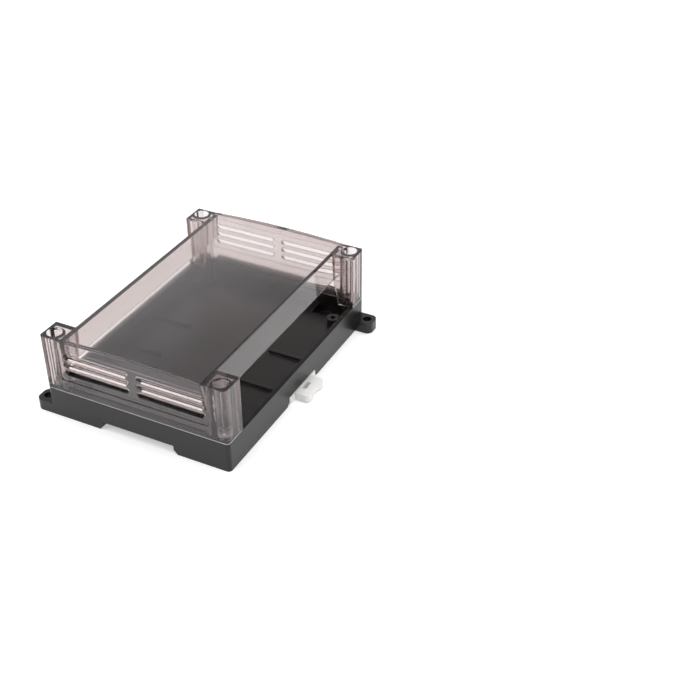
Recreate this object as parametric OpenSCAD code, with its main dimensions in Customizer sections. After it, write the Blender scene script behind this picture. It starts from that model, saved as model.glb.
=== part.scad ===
// Low enclosure for a 35 mm top-hat rail: a black base that sits on the rail, a smoky clear
// cover with louvred ends and open terminal wells along both long sides, a sliding rail clip
// and four cover screws. +Z is up, the rail runs along Y, the origin is the base's centre.

/* [Body] */
// Width of the body, across the rail
body_w = 90; // [80:1:120]
// Length of the body, along the rail
body_l = 124; // [100:1:180]
// Height from the underside to the crown of the cover
body_h = 42; // [36:0.5:60]
// Height of the base, up to the seam
base_h = 14.2; // [12.5:0.1:18]
// Wall of the base
wall = 2.2; // [1.6:0.1:3]
// Radius of the upright corners
corner_r = 1.8; // [0.5:0.1:3]
// Radius of the base's inner corners
inner_r = 0.8; // [0.4:0.1:1.5]

/* [Rail seat] */
// Width of the rail that the channel takes
rail_w = 35; // [32:0.5:38]
// Thickness of the rail's flange
rail_t = 1; // [0.8:0.1:1.3]
// Play across the rail
rail_play = 0.4; // [0.2:0.1:1]
// Depth of the channel in the underside
channel_h = 4.1; // [3.8:0.1:5]
// How far each side of the channel's mouth flares out
flare = 1.9; // [0.5:0.1:2.5]
// Height of the flare
flare_h = 2; // [1:0.1:2.5]
// Grip of the fixed hooks and of the clip under the flange
grip = 1.8; // [1:0.1:2.5]
// Length of each fixed hook
hook_l = 12; // [6:1:20]
// Distance of each fixed hook from the middle of the clip
hook_off = 24; // [18:1:36]

/* [Base inside] */
// Thickness of the floor over the channel
floor_t = 1.9; // [1.5:0.1:2.5]
// Thickness of the floor in the corner pockets
pocket_t = 2; // [1.5:0.1:3]
// Thickness of the ribs of the underside
rib_t = 1.6; // [1.2:0.1:2.2]
// Cross ribs on each side of the underside, counted on one side of the clip
rib_count = 2; // [1:1:4]
// Height of the two low ribs on the floor
floor_rib_h = 1.2; // [0.6:0.1:2]
// Diameter of the board bosses
boss_d = 6; // [5:0.1:7]
// Height of the board bosses above the floor
boss_h = 4.4; // [3:0.1:6]
// Pilot hole of the board bosses
boss_hole = 2.5; // [2:0.1:3]
// Distance of the board bosses from the body's sides
boss_side = 7.5; // [6.5:0.1:9]
// Distance of the board bosses from the body's ends
boss_end = 17; // [15.5:0.1:24]

/* [Cover] */
// Thickness of the end walls
end_t = 2; // [1.8:0.1:2.6]
// Thickness of the top panel
panel_t = 1.8; // [1.4:0.1:2.5]
// Thickness of the long walls at the top
long_t = 1.8; // [1.4:0.1:2.4]
// Thickness of the long walls at their lower edge
long_foot = 1.2; // [1:0.1:1.4]
// How far the long walls lean out at their lower edge
long_lean = 0.6; // [0.1:0.1:0.8]
// Thickness of the post walls
post_t = 1.6; // [1.2:0.1:2]
// Rise of the crowned top panel
crown = 1.05; // [0.5:0.05:3]
// Drop of the posts' flat tops below the panel's long edges
post_drop = 0.15; // [0.1:0.05:0.5]
// Width of the open wells, from the top of the long walls to the body's sides
well_w = 10.6; // [10:0.1:14]
// Length of the corner posts, along the rail
post_l = 11.4; // [11:0.1:16]
// Height of the cable gap under the long walls
gap_h = 12.8; // [8:0.1:14]
// How far the inner edge of each web leans back at its foot
web_lean = 2.4; // [0:0.1:2.5]
// Bevel of the cover's top edges
bevel = 0.4; // [0.2:0.1:0.8]
// Depth of the locating ribs inside the base
lip_h = 1.8; // [1:0.1:3]
// Play of the locating ribs in the base
lip_play = 0.15; // [0.1:0.05:0.4]
// Thickness of the locating ribs
lip_t = 1.2; // [0.9:0.1:1.6]

/* [Vents] */
// Rows of slots in each end wall
vent_rows = 3; // [1:1:4]
// Length of each slot
slot_l = 32.5; // [15:0.5:33]
// Height of each slot at the wall's inner face
slot_h = 1.9; // [1:0.1:2.4]
// Drop of each slot's sill towards the outer face
sill_drop = 1.1; // [0:0.1:1.4]
// Distance between rows
slot_pitch = 4; // [3.6:0.1:6]
// Bridge between the two groups of slots
slot_bridge = 4; // [3:0.5:10]
// Top of the highest slot, below the corner height
vent_top = 6.6; // [5:0.1:10]
// Margin of the recess round the slots
recess_rim = 2.6; // [1:0.1:3.5]
// Depth of the recess round the slots
recess_d = 0.45; // [0.2:0.05:0.8]
// Radius of the recess's corners
recess_r = 2.5; // [1:0.1:3]

/* [Ears] */
// How far the ears stand out from the body's sides
ear_reach = 8; // [7:0.1:14]
// Width of the ears, along the rail
ear_w = 8.6; // [7.5:0.1:14]
// Thickness of the ears
ear_t = 5.3; // [3:0.1:8]
// Screw hole in the ears
ear_hole = 4.2; // [3:0.1:5]
// Distance of the screw hole from the body's side
ear_hole_out = 4.2; // [3.5:0.1:8]
// Radius of the ears' corners
ear_r = 2.9; // [1:0.1:3.5]

/* [Clip] */
// Place of the clip along the rail
clip_y = 0; // [-4:0.1:4]
// Width of the clip's tunnel
tunnel_w = 24; // [22:0.1:30]
// How far each side of the tunnel's mouth flares out
mouth_flare = 1.4; // [0:0.1:1.4]
// Thickness of the clip's plate
clip_t = 2.6; // [2:0.1:2.8]
// Play between the clip and its tunnel
clip_play = 0.3; // [0.2:0.05:0.4]
// Travel of the clip, outward from rest
clip_travel = 4; // [3:0.5:5]
// Width of the pull tab
tab_w = 15; // [12:0.1:18]
// How far the pull tab stands out
tab_reach = 7.2; // [5:0.1:7.5]
// Thickness of the ledges that carry the clip
ledge_t = 0.9; // [0.6:0.1:1]
// Width of the ledges that carry the clip
ledge_w = 1.6; // [1:0.1:2.5]
// Depth of the end bar that fills the tunnel's mouth
bar_t = 3; // [2.4:0.1:3.2]
// How far the end bar stands out of the side wall
bar_out = 0.3; // [0:0.1:0.6]
// Width of the driver slot in the pull tab
driver_w = 2.2; // [1.5:0.1:2.8]

/* [Screws] */
// Diameter of the cover screws
screw_d = 3; // [2.5:0.1:3.5]
// Length of the cover screws under the head
screw_l = 11; // [9:0.5:11.5]
// Diameter of the screw heads
head_d = 5.6; // [5:0.1:6.2]
// Height of the screw heads
head_h = 1.8; // [1.4:0.1:2.4]
// Bore of the screw tubes
tube_bore = 6.8; // [6.4:0.1:7]
// Wall of the screw tubes
tube_t = 1; // [0.8:0.05:1.05]
// Thickness of the seat under each screw head
seat_t = 1.5; // [1.2:0.1:2.5]
// Distance of the screws from the body's sides and ends
screw_in = 4.7; // [4.7:0.1:5]

/* [Hidden] */
$fn = 48;

// overrun of every cut, so that no two faces coincide
over = 0.5;
// fine play of a part that is pressed or screwed home
snug = 0.05;
// play all round the screws in the cover
screw_play = 0.2;

half_w = body_w / 2;
half_l = body_l / 2;
floor_z = channel_h + floor_t;
channel_half = (rail_w + rail_play) / 2;
cheek_half = channel_half + flare + rib_t;
screw_x = half_w - screw_in;
screw_y = half_l - screw_in;
boss_x = half_w - boss_side;
boss_y = half_l - boss_end;
// the corner pockets start just inside the corner posts
pocket_y = half_l - post_l + snug;
pocket_x = cheek_half + rib_t;

// cover
top_z = body_h - crown - post_drop;
long_x = half_w - well_w;
web_y = half_l - post_l;
gap_z = base_h + gap_h;
post_x = long_x + long_t / 2;
crown_r = (long_x * long_x + crown * crown) / (2 * crown);
tube_d = tube_bore + 2 * tube_t;

// vents
vent_step = slot_l / 2 + slot_bridge / 2;
vent_z = top_z - vent_top - slot_h / 2;
vent_low = vent_z - (vent_rows - 1) * slot_pitch - slot_h / 2 - sill_drop;
vent_high = vent_z + slot_h / 2;

// clip
// the rail's flange slides over the hooks and the clip's nose with this play
flange_play = 0.2;
hook_top = channel_h - rail_t - flange_play;
plate_z = ledge_t + clip_play;
plate_top = plate_z + clip_t;
plate_w = tunnel_w - 2 * clip_play;
arm_t = 1.8;
arm_gap = 1.5;
arm_l = 13;
arm_root = channel_half + flare + 4;
bump = 1;
bump_l = 2.4;
nose_x = channel_half - grip;
// the arms and the nose stand in from the plate's sides by this much
stem_in = 4;
bar_x = half_w + bar_out - bar_t;
// height of the tab's underside above the surface that the base stands on
tab_z = 0.4;
foot_w = 2.2;

// outer and inner faces of the long walls at height z
function outer_x(z) = long_x + long_lean * (top_z - z) / (top_z - gap_z);
function inner_x(z) = outer_x(z) - long_t + (long_t - long_foot) * (top_z - z) / (top_z - gap_z);

// a rectangle with round corners, centred
module round_rect(size, r) {
    square([size[0] - 2 * r, size[1]], center = true);
    square([size[0], size[1] - 2 * r], center = true);
    for (sx = [-1, 1], sy = [-1, 1])
        translate([sx * (size[0] / 2 - r), sy * (size[1] / 2 - r)])
            circle(r);
}

// a box with round upright corners, standing on z
module round_box(size, r, z) {
    translate([0, 0, z])
        linear_extrude(size[2])
            round_rect([size[0], size[1]], r);
}

// a box between two corners
module span(low, high) {
    translate(low)
        cube(high - low);
}

// children at the four corners, mirrored so that each keeps its outer side outside
module at_corners() {
    for (sx = [0, 1], sy = [0, 1])
        mirror([sx, 0, 0])
            mirror([0, sy, 0])
                children();
}

// a profile in the XZ plane, run along Y
module along_y(length) {
    translate([0, length / 2, 0])
        rotate([90, 0, 0])
            linear_extrude(length)
                children();
}

// a profile whose first axis is Y and second is Z, run along X
module along_x(length) {
    translate([-length / 2, 0, 0])
        rotate([90, 0, 90])
            linear_extrude(length)
                children();
}

// the ear at one end of one side, with its screw hole
module ear() {
    reach = half_w + ear_reach;
    difference() {
        union() {
            span([half_w - wall, half_l - ear_w, 0], [reach - ear_r, half_l, ear_t]);
            span([half_w - wall, half_l - ear_w + ear_r, 0], [reach, half_l - ear_r, ear_t]);
            for (y = [half_l - ear_r, half_l - ear_w + ear_r])
                translate([reach - ear_r, y, 0])
                    cylinder(r = ear_r, h = ear_t);
        }
        translate([half_w + ear_hole_out, half_l - ear_w / 2, -over])
            cylinder(d = ear_hole, h = ear_t + 2 * over);
    }
}

// the channel's section: upright sides with a flared mouth
module channel_section() {
    polygon([
        [-channel_half - flare, -over], [-channel_half - flare, 0],
        [-channel_half, flare_h], [-channel_half, channel_h],
        [channel_half, channel_h], [channel_half, flare_h],
        [channel_half + flare, 0], [channel_half + flare, -over]
    ]);
}

// one fixed hook, bevelled underneath so that the rail's flange leads in
module fixed_hook() {
    root = channel_half + flare + over;
    tip_t = 1.1;
    along_y(hook_l)
        polygon([
            [-root, 0], [-channel_half, 0], [-channel_half + grip, hook_top - tip_t],
            [-channel_half + grip, hook_top], [-root, hook_top]
        ]);
}

// hollows of the underside on one side, between the cheek and the outer wall
module underside_cores(side) {
    inner = cheek_half;
    outer = half_w - wall;
    reach = pocket_y - rib_t;
    for (dir = [-1, 1]) {
        start = clip_y * dir + tunnel_w / 2 + rib_t;
        bay = (reach - start - rib_count * rib_t) / (rib_count + 1);
        for (i = [0 : rib_count]) {
            y0 = start + i * (bay + rib_t);
            x0 = side > 0 ? inner : -outer;
            mirror([0, dir > 0 ? 0 : 1, 0])
                span([x0, y0, -over], [x0 + outer - inner, y0 + bay, channel_h]);
        }
    }
}

// the hollow opposite the clip, where the fixed side needs no tunnel
module far_core() {
    span([-(half_w - wall), clip_y - tunnel_w / 2, -over],
         [-cheek_half, clip_y + tunnel_w / 2, channel_h]);
}

// the tunnel from the side wall into the channel, with a ledge along each guide wall
module clip_tunnel() {
    low = clip_y - tunnel_w / 2;
    high = clip_y + tunnel_w / 2;
    ledge_end = half_w - wall - 1;
    difference() {
        span([channel_half - over, low, -over], [half_w + over, high, channel_h]);
        for (y = [low, high])
            span([cheek_half, y - ledge_w, -2 * over], [ledge_end, y + ledge_w, ledge_t]);
    }
    // flared mouth in the side wall
    translate([half_w, clip_y, 0])
        along_x(2 * wall)
            polygon([
                [-tunnel_w / 2 - mouth_flare, -over], [-tunnel_w / 2 - mouth_flare, 0],
                [-tunnel_w / 2, flare_h], [tunnel_w / 2, flare_h],
                [tunnel_w / 2 + mouth_flare, 0], [tunnel_w / 2 + mouth_flare, -over]
            ]);
    // windows in the guide walls, where the clip's two bumps run and stop
    for (y = [low, high])
        span([arm_root + arm_l - bump_l - clip_play, y - rib_t / 2 - over, ledge_t],
             [arm_root + arm_l + clip_travel + clip_play, y + rib_t / 2 + over, channel_h]);
}

module base() {
    inner_w = body_w - 2 * wall;
    inner_l = body_l - 2 * wall;
    color([0.07, 0.07, 0.075])
        difference() {
            union() {
                difference() {
                    union() {
                        round_box([body_w, body_l, base_h], corner_r, 0);
                        ear();
                        rotate([0, 0, 180])
                            ear();
                    }
                    round_box([inner_w, inner_l, base_h], inner_r, floor_z);
                    at_corners()
                        span([pocket_x, pocket_y, pocket_t], [half_w - wall, half_l - wall, base_h]);
                    underside_cores(1);
                    underside_cores(-1);
                    far_core();
                    along_y(body_l + 2 * over)
                        channel_section();
                    clip_tunnel();
                }
                for (y = [-hook_off, hook_off])
                    translate([0, clip_y + y, 0])
                        fixed_hook();
                // low ribs over the tunnel's guide walls
                for (sx = [-1, 1], sy = [-1, 1])
                    translate([sx * (cheek_half + half_w - wall) / 2,
                               clip_y + sy * (tunnel_w / 2 + rib_t / 2), floor_z])
                        cube([half_w - wall - cheek_half + 2 * snug, rib_t, 2 * floor_rib_h],
                             center = true);
                at_corners() {
                    translate([boss_x, boss_y, floor_z - floor_t / 2])
                        cylinder(d = boss_d, h = boss_h + floor_t / 2);
                    // pillar under each cover post, tied to the two outer walls
                    intersection() {
                        translate([screw_x, screw_y, pocket_t / 2])
                            cylinder(d = tube_d, h = base_h - pocket_t / 2);
                        span([0, 0, 0], [half_w - wall / 2, half_l - wall / 2, base_h]);
                    }
                }
            }
            at_corners() {
                translate([boss_x, boss_y, floor_z - floor_t / 3])
                    cylinder(d = boss_hole, h = boss_h + 2 * over);
                translate([screw_x, screw_y, base_h + seat_t - screw_l - over])
                    cylinder(d = screw_d + 2 * snug, h = base_h);
            }
        }
}

// a long, slightly crowned block, low_x and high_x wide each way at its foot and at its head;
// the cylinder that crowns it has bevelled ends
module crowned_block(low, low_x, high_x, length, r, cut) {
    intersection() {
        along_y(length)
            polygon([[-low_x, low], [low_x, low], [high_x, body_h + over], [-high_x, body_h + over]]);
        translate([0, 0, body_h - crown_r])
            rotate([90, 0, 0])
                union() {
                    cylinder(r = r, h = length - 2 * cut, center = true, $fn = 720);
                    for (s = [0, 1])
                        mirror([0, 0, s])
                            translate([0, 0, length / 2 - cut])
                                cylinder(r1 = r, r2 = r - cut, h = cut, $fn = 720);
                }
    }
}

// the outside of one corner post, with its top edges bevelled
module post_block() {
    difference() {
        intersection() {
            span([long_x - over, web_y, base_h], [half_w, half_l, top_z]);
            round_box([body_w, body_l, body_h], corner_r, 0);
        }
        translate([half_w, 0, top_z])
            rotate([0, 45, 0])
                cube([bevel * sqrt(2), body_l, bevel * sqrt(2)], center = true);
        translate([0, half_l, top_z])
            rotate([45, 0, 0])
                cube([body_w, bevel * sqrt(2), bevel * sqrt(2)], center = true);
    }
}

// the web that closes a post towards the well; its inner edge leans back at the foot
module web() {
    translate([0, web_y + post_t / 2, 0])
        along_y(post_t)
            polygon([
                [long_x - long_t / 2, top_z - panel_t / 2], [outer_x(gap_z) - long_foot / 2, gap_z],
                [outer_x(gap_z), gap_z], [outer_x(gap_z) + web_lean, base_h],
                [half_w - post_t / 2, base_h], [half_w - post_t / 2, top_z - post_t / 2]
            ]);
}

// one slot through an end wall: straight, with a sill that falls outward
module vent_slot() {
    rotate([90, 0, 0])
        translate([0, 0, -half_l - over])
            linear_extrude(end_t + 2 * over)
                round_rect([slot_l, slot_h], slot_h / 2 - 0.01);
    inner_y = half_l - end_t;
    run = end_t + over;
    along_x(slot_l - slot_h)
        polygon([
            [inner_y, 0], [inner_y, -slot_h / 2],
            [half_l + over, -slot_h / 2 - sill_drop * run / end_t], [half_l + over, 0]
        ]);
}

// recess and slots of one end wall
module vents() {
    mid_z = (vent_high + vent_low) / 2;
    rise = vent_high - vent_low + 2 * recess_rim;
    width = 2 * slot_l + slot_bridge + 2 * recess_rim;
    translate([0, half_l - recess_d, mid_z])
        rotate([-90, 0, 0])
            linear_extrude(recess_d + over)
                round_rect([width, rise], recess_r);
    for (sx = [-1, 1], row = [0 : vent_rows - 1])
        translate([sx * vent_step, 0, vent_z - row * slot_pitch])
            vent_slot();
}

// the rib that drops inside the base along an end wall
module locating_rib() {
    face = half_l - wall - lip_play;
    back = face - lip_t;
    low = base_h - lip_h;
    lead = 0.4;
    root_h = 3;
    along_x(2 * (screw_x - tube_d / 2 - lip_t - bevel))
        polygon([
            [half_l - end_t / 2, base_h + root_h], [half_l - end_t, base_h + root_h],
            [back, base_h + root_h / 2], [back, low + lead], [back + lead, low],
            [face - lead, low], [face, low + lead], [face, base_h], [half_l - end_t / 2, base_h]
        ]);
}

module cover() {
    color([0.55, 0.53, 0.53, 0.45])
        difference() {
            union() {
                difference() {
                    union() {
                        crowned_block(base_h, outer_x(base_h), outer_x(body_h + over), body_l,
                                      crown_r, bevel);
                        at_corners()
                            post_block();
                    }
                    // the main space under the crowned panel
                    crowned_block(base_h - over, inner_x(base_h - over), inner_x(body_h + over),
                                  body_l - 2 * end_t, crown_r - panel_t, 0);
                    // under the long walls
                    span([-outer_x(base_h) - over, -(half_l - end_t), base_h - over],
                         [outer_x(base_h) + over, half_l - end_t, gap_z]);
                    // inside the posts
                    at_corners()
                        span([post_x, web_y + post_t, base_h - over],
                             [half_w - post_t, half_l - end_t, top_z - post_t]);
                    at_corners()
                        span([post_x, web_y - over, base_h - over],
                             [half_w - post_t, half_l - end_t, gap_z]);
                }
                at_corners() {
                    web();
                    intersection() {
                        translate([screw_x, screw_y, base_h])
                            cylinder(d = tube_d, h = top_z - post_t / 2 - base_h);
                        round_box([body_w, body_l, body_h], corner_r, 0);
                    }
                }
                locating_rib();
                mirror([0, 1, 0])
                    locating_rib();
            }
            at_corners() {
                translate([screw_x, screw_y, base_h + seat_t])
                    cylinder(d = tube_bore, h = body_h);
                translate([screw_x, screw_y, base_h - over])
                    cylinder(d = screw_d + 2 * screw_play, h = seat_t + 2 * over);
            }
            vents();
            mirror([0, 1, 0])
                vents();
        }
}

// outline of the clip's plate: a nose, two spring arms, a stem and an end bar
module clip_outline() {
    root_x = channel_half + flare + clip_play;
    stem_w = plate_w - 2 * stem_in;
    neck_w = plate_w - 2 * (arm_t + arm_gap);
    // nose
    translate([nose_x, -stem_w / 2])
        square([arm_root - nose_x, stem_w]);
    // root of the arms
    translate([root_x, -plate_w / 2])
        square([arm_root - root_x, plate_w]);
    // stem, between the arms
    translate([root_x, -neck_w / 2])
        square([half_w - root_x - bar_t / 2, neck_w]);
    for (s = [0, 1])
        mirror([0, s]) {
            translate([arm_root - 1, plate_w / 2 - arm_t])
                square([arm_l + 1, arm_t]);
            // the bump at the arm's free end
            translate([arm_root + arm_l - bump_l, plate_w / 2 - arm_t])
                square([bump_l, arm_t + bump]);
        }
    // end bar
    translate([bar_x, -plate_w / 2])
        square([bar_t, plate_w]);
}

// the pull tab, with a driver slot and a shallow finger notch in its outer edge
module pull_tab() {
    tab_r = 1.8;
    notch_d = 1;
    notch_r = (tab_w * tab_w / 16 + notch_d * notch_d) / (2 * notch_d);
    translate([half_w + tab_reach / 2, 0, tab_z])
        linear_extrude(plate_top - tab_z)
            difference() {
                round_rect([tab_reach, tab_w], tab_r);
                translate([tab_reach / 2 + notch_r - notch_d, 0])
                    circle(notch_r);
                translate([1 - tab_reach / 2, -tab_w / 6])
                    square([driver_w, tab_w / 3]);
            }
}

// wedge taken off the nose's underside, so that it rides over the rail's flange
module nose_lead_in() {
    lead = 1.6;
    tip_t = 0.8;
    along_y(2 * plate_w)
        polygon([
            [nose_x - over, plate_z - over], [nose_x + lead, plate_z - over],
            [nose_x + lead, plate_z], [nose_x, hook_top - tip_t], [nose_x - over, hook_top - tip_t]
        ]);
}

module din_clip() {
    color([0.88, 0.88, 0.86])
        translate([0, clip_y, 0]) {
            difference() {
                translate([0, 0, plate_z])
                    linear_extrude(clip_t)
                        clip_outline();
                // the nose passes under the rail's flange
                span([nose_x - over, -plate_w, hook_top], [channel_half + flare, plate_w, plate_top + over]);
                nose_lead_in();
            }
            pull_tab();
            // feet under the ends of the bar
            for (sy = [-1, 1])
                translate([half_w - foot_w / 2, sy * (plate_w - foot_w) / 2, (tab_z + plate_z) / 2])
                    cube([foot_w, foot_w, plate_z - tab_z + snug], center = true);
        }
}

// a pan-head screw with a cross recess, seated on its shoulder at the origin and pointing down
module cover_screw() {
    edge = 0.5;
    tip_l = 1;
    difference() {
        union() {
            cylinder(d = head_d, h = head_h - edge);
            translate([0, 0, head_h - edge])
                cylinder(d1 = head_d, d2 = head_d - 2 * edge, h = edge);
            translate([0, 0, tip_l - screw_l])
                cylinder(d = screw_d, h = screw_l - tip_l + edge);
            translate([0, 0, -screw_l])
                cylinder(d1 = screw_d / 2, d2 = screw_d, h = tip_l);
        }
        // cross recess
        for (a = [0, 90])
            rotate([0, 0, a])
                translate([0, 0, head_h])
                    cube([head_d / 2, 0.8, head_h], center = true);
    }
}

module cover_screws() {
    color([0.62, 0.62, 0.63])
        for (sx = [-1, 1], sy = [-1, 1])
            translate([sx * screw_x, sy * screw_y, base_h + seat_t])
                cover_screw();
}

base();
cover();
din_clip();
cover_screws();
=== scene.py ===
import math

import bmesh
import bpy
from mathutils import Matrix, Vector


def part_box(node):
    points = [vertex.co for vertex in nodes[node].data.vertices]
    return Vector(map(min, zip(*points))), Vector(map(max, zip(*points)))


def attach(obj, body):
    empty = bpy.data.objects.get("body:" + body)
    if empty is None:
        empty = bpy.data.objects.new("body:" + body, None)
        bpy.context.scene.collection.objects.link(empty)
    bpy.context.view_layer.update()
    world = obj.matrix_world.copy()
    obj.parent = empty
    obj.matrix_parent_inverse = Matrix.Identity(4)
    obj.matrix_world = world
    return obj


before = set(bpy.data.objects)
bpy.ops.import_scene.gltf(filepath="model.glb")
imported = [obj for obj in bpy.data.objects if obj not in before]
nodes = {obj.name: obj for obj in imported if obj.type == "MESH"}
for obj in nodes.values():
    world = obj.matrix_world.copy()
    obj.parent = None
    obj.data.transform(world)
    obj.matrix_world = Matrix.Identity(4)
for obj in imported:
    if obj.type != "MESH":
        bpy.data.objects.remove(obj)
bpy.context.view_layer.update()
print("frame loaded:", ", ".join(sorted(nodes)))

perMetre = 1000  # the pieces' sizes are in millimetres, the scene is in metres

# small helpers for node trees


def addNode(tree, kind, place, **settings):
    node = tree.nodes.new(kind)
    node.location = place
    for name, value in settings.items():
        setattr(node, name, value)
    return node


def setInputs(node, **values):
    # an underscore stands for the space in a socket's name
    for name, value in values.items():
        node.inputs[name.replace("_", " ")].default_value = value
    return node


def addMath(tree, operation, first, second, place):
    # first and second are sockets or plain numbers
    node = addNode(tree, "ShaderNodeMath", place, operation=operation)
    for index, term in enumerate((first, second)):
        if isinstance(term, (int, float)):
            node.inputs[index].default_value = term
        elif term is not None:
            tree.links.new(term, node.inputs[index])
    return node.outputs[0]


def spread(tree, value, low, high, place):
    # turns a 0 to 1 value into low to high
    node = addNode(tree, "ShaderNodeMapRange", place)
    setInputs(node, To_Min=low, To_Max=high)
    tree.links.new(value, node.inputs["Value"])
    return node.outputs["Result"]


def blendColors(tree, mask, first, second, place):
    # first and second are sockets or plain colours
    node = addNode(tree, "ShaderNodeMix", place, data_type="RGBA")
    tree.links.new(mask, node.inputs["Factor"])
    for socket, color in ((node.inputs[6], first), (node.inputs[7], second)):
        if isinstance(color, tuple):
            socket.default_value = (*color, 1)
        else:
            tree.links.new(color, socket)
    return node.outputs[2]


def mixShaders(tree, mask, first, second, place):
    mix = addNode(tree, "ShaderNodeMixShader", place)
    for socket, source in zip(mix.inputs, (mask, first, second)):
        tree.links.new(source, socket)
    return mix.outputs[0]


def anyRay(tree, kinds, place):
    # 1 for rays of any of these kinds
    path = addNode(tree, "ShaderNodeLightPath", place)
    found = path.outputs[kinds[0]]
    for step, kind in enumerate(kinds[1:], 1):
        found = addMath(tree, "MAXIMUM", found, path.outputs[kind], (place[0] + 200 * step, place[1]))
    return found


def newMaterial(name):
    material = bpy.data.materials.new(name)
    material.use_nodes = True
    tree = material.node_tree
    tree.nodes.clear()
    return material, tree, addNode(tree, "ShaderNodeOutputMaterial", (1200, 0))


def giveMaterial(piece, material):
    piece.data.materials.clear()
    piece.data.materials.append(material)
    for face in piece.data.polygons:
        face.material_index = 0


def newGroup(name, inputs, outputs):
    group = bpy.data.node_groups.new(name, "ShaderNodeTree")
    for label, kind, value in inputs:
        socket = group.interface.new_socket(label, in_out="INPUT", socket_type=kind)
        if value is not None:
            socket.default_value = value
    for label, kind in outputs:
        group.interface.new_socket(label, in_out="OUTPUT", socket_type=kind)
    given = addNode(group, "NodeGroupInput", (-900, 0))
    made = addNode(group, "NodeGroupOutput", (900, 0))
    return group, given, made


def placeGroup(tree, group, place, **values):
    node = addNode(tree, "ShaderNodeGroup", place, node_tree=group)
    return setInputs(node, **values)


# shared surface effects, each built once

effects = {
    "fineDetail": 3.0,
    "patchDetail": 4.0,
    "noiseRoughness": 0.55,
    "edgeSamples": 6,
    "wearStarts": 1.0,  # cosine between a face and its softened edge
    "wearFull": 0.75,
}


def buildMouldGrain(look):
    # fine texture of the tool steel, and wide patches where the plastic cooled unevenly
    group, given, made = newGroup(
        "mouldGrain",
        [
            ("Place", "NodeSocketVector", None),
            ("Grain Size", "NodeSocketFloat", 0.4),
            ("Patch Size", "NodeSocketFloat", 14.0),
        ],
        [("Height", "NodeSocketFloat"), ("Patches", "NodeSocketFloat")],
    )
    layers = (
        ("Grain Size", "Height", look["fineDetail"], 200),
        ("Patch Size", "Patches", look["patchDetail"], -200),
    )
    for size, output, detail, row in layers:
        scale = addMath(group, "DIVIDE", float(perMetre), given.outputs[size], (-600, row))
        noise = addNode(group, "ShaderNodeTexNoise", (-300, row))
        setInputs(noise, Detail=detail, Roughness=look["noiseRoughness"])
        group.links.new(given.outputs["Place"], noise.inputs["Vector"])
        group.links.new(scale, noise.inputs["Scale"])
        group.links.new(noise.outputs["Fac"], made.inputs[output])
    return group


def buildSoftEdge(look):
    # rounds the look of every sharp corner, and masks the strip along it
    group, given, made = newGroup(
        "softEdge",
        [("Radius", "NodeSocketFloat", 0.3)],
        [("Normal", "NodeSocketVector"), ("Mask", "NodeSocketFloat")],
    )
    radius = addMath(group, "DIVIDE", given.outputs["Radius"], float(perMetre), (-600, 0))
    bevel = addNode(group, "ShaderNodeBevel", (-300, 0), samples=look["edgeSamples"])
    flat = addNode(group, "ShaderNodeNewGeometry", (-300, -250))
    dot = addNode(group, "ShaderNodeVectorMath", (0, -100), operation="DOT_PRODUCT")
    turned = addNode(group, "ShaderNodeMapRange", (300, -100))
    setInputs(turned, From_Min=look["wearStarts"], From_Max=look["wearFull"], To_Min=0.0, To_Max=1.0)
    group.links.new(radius, bevel.inputs["Radius"])
    group.links.new(bevel.outputs["Normal"], dot.inputs[0])
    group.links.new(flat.outputs["Normal"], dot.inputs[1])
    group.links.new(dot.outputs["Value"], turned.inputs["Value"])
    group.links.new(bevel.outputs["Normal"], made.inputs["Normal"])
    group.links.new(turned.outputs["Result"], made.inputs["Mask"])
    return group


mouldGrain = buildMouldGrain(effects)
softEdge = buildSoftEdge(effects)
print("shared effects built")


def startFinish(name, look, roughBy="Patches"):
    # what every finish begins with, at this piece's own scale: patchy colour and roughness, soft corners
    material, tree, out = newMaterial(name)
    place = addNode(tree, "ShaderNodeTexCoord", (-900, 0))
    grain = placeGroup(tree, mouldGrain, (-600, 0), Patch_Size=look["patch"])
    if "grain" in look:
        setInputs(grain, Grain_Size=look["grain"])
    edge = None
    if "edge" in look:
        edge = placeGroup(tree, softEdge, (-600, -300), Radius=look["edge"])
    shader = addNode(tree, "ShaderNodeBsdfPrincipled", (600, 0))
    color = blendColors(tree, grain.outputs["Patches"], look["color"], look["patchColor"], (-300, 300))
    rough = spread(tree, grain.outputs[roughBy], *look["roughness"], (-300, 100))
    tree.links.new(place.outputs["Object"], grain.inputs["Place"])
    tree.links.new(color, shader.inputs["Base Color"])
    tree.links.new(rough, shader.inputs["Roughness"])
    tree.links.new(shader.outputs[0], out.inputs["Surface"])
    return {
        "material": material,
        "tree": tree,
        "out": out,
        "place": place.outputs["Object"],
        "grain": grain.outputs,
        "edge": edge,
        "color": color,
        "shader": shader,
    }


def addBump(finish, height, look):
    tree = finish["tree"]
    bump = addNode(tree, "ShaderNodeBump", (300, -200))
    setInputs(bump, Strength=look["bump"], Distance=look["depth"] / perMetre)
    tree.links.new(height, bump.inputs["Height"])
    if finish["edge"]:
        tree.links.new(finish["edge"].outputs["Normal"], bump.inputs["Normal"])
    tree.links.new(bump.outputs["Normal"], finish["shader"].inputs["Normal"])


# cover: smoky clear polycarbonate, darker where the light runs a long way inside it

cover = {
    "color": (0.985, 0.98, 0.98),
    "patchColor": (0.97, 0.955, 0.96),
    "absorbed": (0.404, 0.244, 0.216, 1),  # what is left of white, at the density below
    "density": 205.0,  # per metre
    "glossTint": (0.96, 0.955, 1, 1),
    "roughness": (0.05, 0.09),
    "ior": 1.585,
    "shade": (0.93, 0.93, 0.93, 1),  # lamp light let through each skin
    "patch": 22.0,
    "edge": 0.25,
    "bump": 0.4,
    "depth": 0.004,  # of the wide waves in the skin
}


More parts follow.
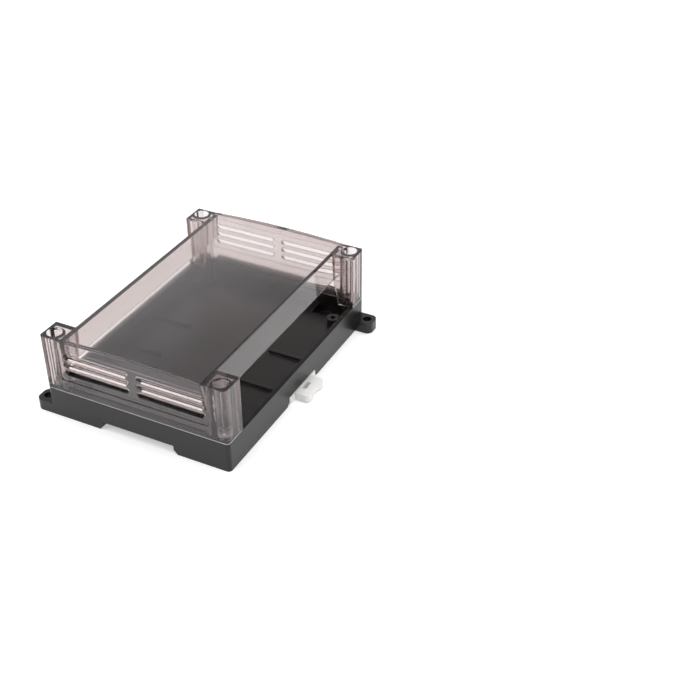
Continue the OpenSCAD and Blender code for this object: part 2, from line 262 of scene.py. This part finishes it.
def smokyClear(look):
    finish = startFinish("smokyClear", look)
    tree, glass, out = finish["tree"], finish["shader"], finish["out"]
    setInputs(glass, IOR=look["ior"], Transmission_Weight=1.0, Specular_Tint=look["glossTint"])
    addBump(finish, finish["grain"]["Patches"], look)
    lampsPass = addNode(tree, "ShaderNodeBsdfTransparent", (600, -700))
    setInputs(lampsPass, Color=look["shade"])
    shadowRay = anyRay(tree, ["Is Shadow Ray"], (600, 400))
    skin = mixShaders(tree, shadowRay, glass.outputs[0], lampsPass.outputs[0], (1000, 0))
    tree.links.new(skin, out.inputs["Surface"])
    smoke = addNode(tree, "ShaderNodeVolumeAbsorption", (1000, -300))
    setInputs(smoke, Color=look["absorbed"], Density=look["density"])
    tree.links.new(smoke.outputs[0], out.inputs["Volume"])
    return finish["material"]


giveMaterial(nodes["cover"], smokyClear(cover))
print("cover: smoky clear")

# painted highlight: a thin pale ribbon where the cover's foot meets the base, at both ends and round the
# four corners, standing in for the light caught along the joint's edge

seamHighlight = {
    "seam": 14.2,  # height of the joint
    "rise": 0.32,
    "sunk": 0.03,  # under the skin of the cover
    "thick": 0.06,
    "cornerRadius": 1.8,
    "cornerSteps": 6,
    "reach": 10.6,  # along each long side
    # pale grey of the painted highlight
    "color": (0.62, 0.60, 0.61),
    "patchColor": (0.74, 0.72, 0.73),
    "roughness": (0.45, 0.65),
    "grain": 0.3,
    "patch": 9.0,
    "bump": 0.4,
    "depth": 0.004,
}


def footLine(look, halfWidth, halfLength, side, inset):
    # one open line: down a long side, round two corners and back up the other
    radius = look["cornerRadius"]
    centerX, centerY = halfWidth - radius, halfLength - radius
    line = [(halfWidth - inset, halfLength - look["reach"])]
    for x, start in ((centerX, 0), (-centerX, 90)):
        for step in range(look["cornerSteps"] + 1):
            turn = math.radians(start + 90 * step / look["cornerSteps"])
            line.append((x + (radius - inset) * math.cos(turn), centerY + (radius - inset) * math.sin(turn)))
    line.append((inset - halfWidth, halfLength - look["reach"]))
    return [(x, side * y) for x, y in line]


# finish of the painted highlight along the seam
def paintedSeamHighlight(look):
    finish = startFinish("paintedSeamHighlight", look)
    addBump(finish, finish["grain"]["Height"], look)
    return finish["material"]


def buildSeamHighlight(look):
    low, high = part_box("cover")
    halfWidth, halfLength = perMetre * (high.x - low.x) / 2, perMetre * (high.y - low.y) / 2
    bottom, top = look["seam"] + look["sunk"], look["seam"] + look["rise"]
    shape = bmesh.new()
    for side in (-1, 1):
        outer = footLine(look, halfWidth, halfLength, side, look["sunk"])
        inner = footLine(look, halfWidth, halfLength, side, look["sunk"] + look["thick"])
        rings = []
        for (x, y), (u, v) in zip(outer, inner):
            corners = ((x, y, bottom), (x, y, top), (u, v, top), (u, v, bottom))
            rings.append([shape.verts.new(Vector(corner) / perMetre) for corner in corners])
        for first, second in zip(rings, rings[1:]):
            for index in range(4):
                other = (index + 1) % 4
                shape.faces.new((first[index], first[other], second[other], second[index]))
        shape.faces.new(rings[0])
        shape.faces.new(rings[-1][::-1])
    bmesh.ops.recalc_face_normals(shape, faces=shape.faces)
    mesh = bpy.data.meshes.new("cover_foot_edge")
    shape.to_mesh(mesh)
    shape.free()
    piece = bpy.data.objects.new("cover_foot_edge", mesh)
    bpy.context.scene.collection.objects.link(piece)
    giveMaterial(piece, paintedSeamHighlight(look))
    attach(piece, "enclosure")


buildSeamHighlight(seamHighlight)
print("cover_foot_edge: pale line round both ends")

# base: black moulding with a fine satin texture, a little paler in patches along its softened edges

base = {
    "color": (0.0085, 0.0083, 0.0086),
    "patchColor": (0.0112, 0.0107, 0.0108),
    "paleEdgeColor": (0.030, 0.030, 0.032),
    "roughness": (0.26, 0.36),
    "ior": 1.44,
    "grain": 0.45,
    "patch": 16.0,
    "edge": 0.3,
    "bump": 0.5,
    "depth": 0.006,
}


def blackMoulding(look):
    finish = startFinish("blackMoulding", look)
    tree, plastic, grain = finish["tree"], finish["shader"], finish["grain"]
    setInputs(plastic, IOR=look["ior"])
    # paler colour along the softened edges, broken into patches by the grain
    paleEdgeMask = addMath(tree, "MULTIPLY", finish["edge"].outputs["Mask"], grain["Height"], (0, 100))
    color = blendColors(tree, paleEdgeMask, finish["color"], look["paleEdgeColor"], (200, 300))
    tree.links.new(color, plastic.inputs["Base Color"])
    addBump(finish, grain["Height"], look)
    return finish["material"]


giveMaterial(nodes["base"], blackMoulding(base))
print("base: black moulding")

# rail clip: natural nylon, a little waxy and see-through in its thin parts

clip = {
    "color": (0.92, 0.905, 0.89),
    "patchColor": (0.95, 0.94, 0.93),
    "roughness": (0.30, 0.44),
    "ior": 1.53,
    "inside": 0.15,  # share of light that travels under the skin
    "insideReach": (0.0018, 0.0017, 0.0014),  # in metres
    "grain": 0.35,
    "patch": 6.0,
    "edge": 0.3,
    "bump": 0.4,
    "depth": 0.01,
}


def naturalNylon(look):
    finish = startFinish("naturalNylon", look)
    nylon = setInputs(finish["shader"], IOR=look["ior"])
    setInputs(nylon, Subsurface_Weight=look["inside"], Subsurface_Scale=1.0)
    setInputs(nylon, Subsurface_Radius=look["insideReach"])
    addBump(finish, finish["grain"]["Height"], look)
    return finish["material"]


giveMaterial(nodes["din_clip"], naturalNylon(clip))
print("din_clip: natural nylon")

# cover screws: zinc-plated steel, with a thread cut in the shank by a spiral bump

screws = {
    "color": (0.30, 0.30, 0.30),
    "patchColor": (0.38, 0.375, 0.35),
    "roughness": (0.24, 0.40),
    "headRadius": 2.8,
    "headHeight": 1.9,
    "pitch": 0.9,  # coarse thread for plastic
    "grain": 0.25,
    "patch": 2.5,
    "edge": 0.12,
    "bump": 1.0,
    "depth": 0.56,  # twice the thread's, whose ridge rises from 0 to a half
}


def zincSteel(look):
    finish = startFinish("zincSteel", look, roughBy="Height")
    tree = finish["tree"]
    setInputs(finish["shader"], Metallic=1.0)
    low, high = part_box("cover_screws")
    axisX = high.x - look["headRadius"] / perMetre
    axisY = high.y - look["headRadius"] / perMetre
    headFoot = high.z - look["headHeight"] / perMetre
    split = addNode(tree, "ShaderNodeSeparateXYZ", (-1300, -500))
    tree.links.new(finish["place"], split.inputs[0])
    # the four screws stand at the corners of a rectangle, so one corner's axis serves them all
    mirroredX = addMath(tree, "ABSOLUTE", split.outputs["X"], None, (-1100, -450))
    mirroredY = addMath(tree, "ABSOLUTE", split.outputs["Y"], None, (-1100, -600))
    across = addMath(tree, "SUBTRACT", mirroredX, axisX, (-950, -450))
    along = addMath(tree, "SUBTRACT", mirroredY, axisY, (-950, -600))
    angle = addMath(tree, "ARCTAN2", along, across, (-800, -500))
    turn = addMath(tree, "DIVIDE", angle, 2 * math.pi, (-650, -500))
    rise = addMath(tree, "DIVIDE", split.outputs["Z"], look["pitch"] / perMetre, (-800, -700))
    spiral = addMath(tree, "ADD", rise, turn, (-500, -600))
    ridge = addMath(tree, "PINGPONG", spiral, 0.5, (-350, -600))
    shank = addMath(tree, "LESS_THAN", split.outputs["Z"], headFoot, (-350, -750))
    addBump(finish, addMath(tree, "MULTIPLY", ridge, shank, (-200, -650)), look)
    return finish["material"]


giveMaterial(nodes["cover_screws"], zincSteel(screws))
print("cover_screws: zinc-plated steel")

# studio: pale floor, white surround and three soft lamps

studio = {
    "floorColor": (0.8, 0.8, 0.8, 1),
    "floorSize": 2.0,  # the lamps still light its edges well, and beyond it the surround is white
    "floorGap": 0.0001,
    "floorGlow": 0.42,  # seen by the eye, in gloss and through the cover
    "surroundColor": (0.8, 0.8, 0.8, 1),
    "surround": 0.6,  # what lights the object from all round
    "white": 1.0,
    "ceiling": ((0.50, 1.0), (0.60, 0.56), (0.80, 0.26), (1.0, 0.2)),  # a bent ray's rise, and what it finds
}


def buildFloor(look):
    bpy.ops.mesh.primitive_plane_add(size=look["floorSize"], location=(0, 0, -look["floorGap"]))
    floor = bpy.context.object
    floor.name = "floor"
    material, tree, out = newMaterial("paleFloor")
    lit = addNode(tree, "ShaderNodeBsdfDiffuse", (0, 0))
    setInputs(lit, Color=look["floorColor"])
    glow = addNode(tree, "ShaderNodeEmission", (0, -200))
    setInputs(glow, Strength=look["floorGlow"])
    both = addNode(tree, "ShaderNodeAddShader", (300, 0))
    tree.links.new(lit.outputs[0], both.inputs[0])
    tree.links.new(glow.outputs[0], both.inputs[1])
    seen = anyRay(tree, ["Is Camera Ray", "Is Glossy Ray", "Is Transmission Ray"], (-300, 400))
    fromAbove = mixShaders(tree, seen, lit.outputs[0], both.outputs[0], (600, 0))
    clear = addNode(tree, "ShaderNodeBsdfTransparent", (600, -200))
    side = addNode(tree, "ShaderNodeNewGeometry", (600, 300))
    # nothing of the floor shows from below
    oneWay = mixShaders(tree, side.outputs["Backfacing"], fromAbove, clear.outputs[0], (900, 0))
    tree.links.new(oneWay, out.inputs["Surface"])
    giveMaterial(floor, material)


def buildSurround(look):
    world = bpy.data.worlds.new("studio")
    bpy.context.scene.world = world
    world.use_nodes = True
    tree = world.node_tree
    tree.nodes.clear()
    out = addNode(tree, "ShaderNodeOutputWorld", (900, 0))
    dim = addNode(tree, "ShaderNodeBackground", (0, 0))
    setInputs(dim, Color=look["surroundColor"], Strength=look["surround"])
    white = addNode(tree, "ShaderNodeBackground", (0, -200))
    setInputs(white, Color=(1, 1, 1, 1), Strength=look["white"])
    room = addNode(tree, "ShaderNodeBackground", (0, 200))
    setInputs(room, Color=(1, 1, 1, 1))
    direction = addNode(tree, "ShaderNodeTexCoord", (-900, 200))
    split = addNode(tree, "ShaderNodeSeparateXYZ", (-700, 200))
    ramp = addNode(tree, "ShaderNodeValToRGB", (-400, 200))
    stops = ramp.color_ramp.elements
    while len(stops) < len(look["ceiling"]):
        stops.new(0.5)
    for stop, (height, strength) in zip(stops, look["ceiling"]):
        stop.position = height
        stop.color = (strength, strength, strength, 1)
    tree.links.new(direction.outputs["Generated"], split.inputs[0])
    tree.links.new(split.outputs["Z"], ramp.inputs["Fac"])
    tree.links.new(ramp.outputs["Color"], room.inputs["Strength"])
    bent = anyRay(tree, ["Is Glossy Ray", "Is Transmission Ray"], (-300, 600))
    around = mixShaders(tree, bent, dim.outputs[0], room.outputs[0], (300, 0))
    eye = anyRay(tree, ["Is Camera Ray"], (300, 400))
    tree.links.new(mixShaders(tree, eye, around, white.outputs[0], (600, 0)), out.inputs["Surface"])


lamps = {
    "overhead": {"place": (0, 0.1, 1.2), "width": 1.2, "power": 9.0, "inGloss": False},
    "leftFront": {"place": (-0.58, -0.72, 0.91), "width": 0.8, "power": 3.0, "inGloss": True},
    "rightSide": {"place": (1.0, -0.15, 0.45), "width": 0.6, "power": 2.5, "inGloss": False},
}


def addLamp(name, look):
    light = bpy.data.lights.new(name, "AREA")
    light.shape = "SQUARE"
    light.size = look["width"]
    light.energy = look["power"]
    lamp = bpy.data.objects.new(name, light)
    bpy.context.scene.collection.objects.link(lamp)
    lamp.location = look["place"]
    lamp.rotation_euler = Vector(look["place"]).to_track_quat("Z", "Y").to_euler()  # faces the origin
    lamp.visible_glossy = look["inGloss"]


buildFloor(studio)
buildSurround(studio)
for name in sorted(lamps):
    addLamp(name, lamps[name])
print("studio: floor, surround and", len(lamps), "lamps")

# camera

view = {
    "azimuth": 26.243,
    "elevation": 34.94,
    "distance": 0.552,
    "aim": (0.05, 0.03775, 0),
    "lens": 60.72,
    "sensor": 36,
}


def addCamera(look):
    data = bpy.data.cameras.new("camera")
    data.lens = look["lens"]
    data.sensor_width = look["sensor"]
    camera = bpy.data.objects.new("camera", data)
    bpy.context.scene.collection.objects.link(camera)
    turn, tilt = math.radians(look["azimuth"]), math.radians(look["elevation"])
    back = Vector((math.sin(turn) * math.cos(tilt), -math.cos(turn) * math.cos(tilt), math.sin(tilt)))
    camera.location = Vector(look["aim"]) + back * look["distance"]
    camera.rotation_euler = back.to_track_quat("Z", "Y").to_euler()
    bpy.context.scene.camera = camera


addCamera(view)
bpy.context.scene.view_settings.view_transform = "Standard"
print("camera placed")
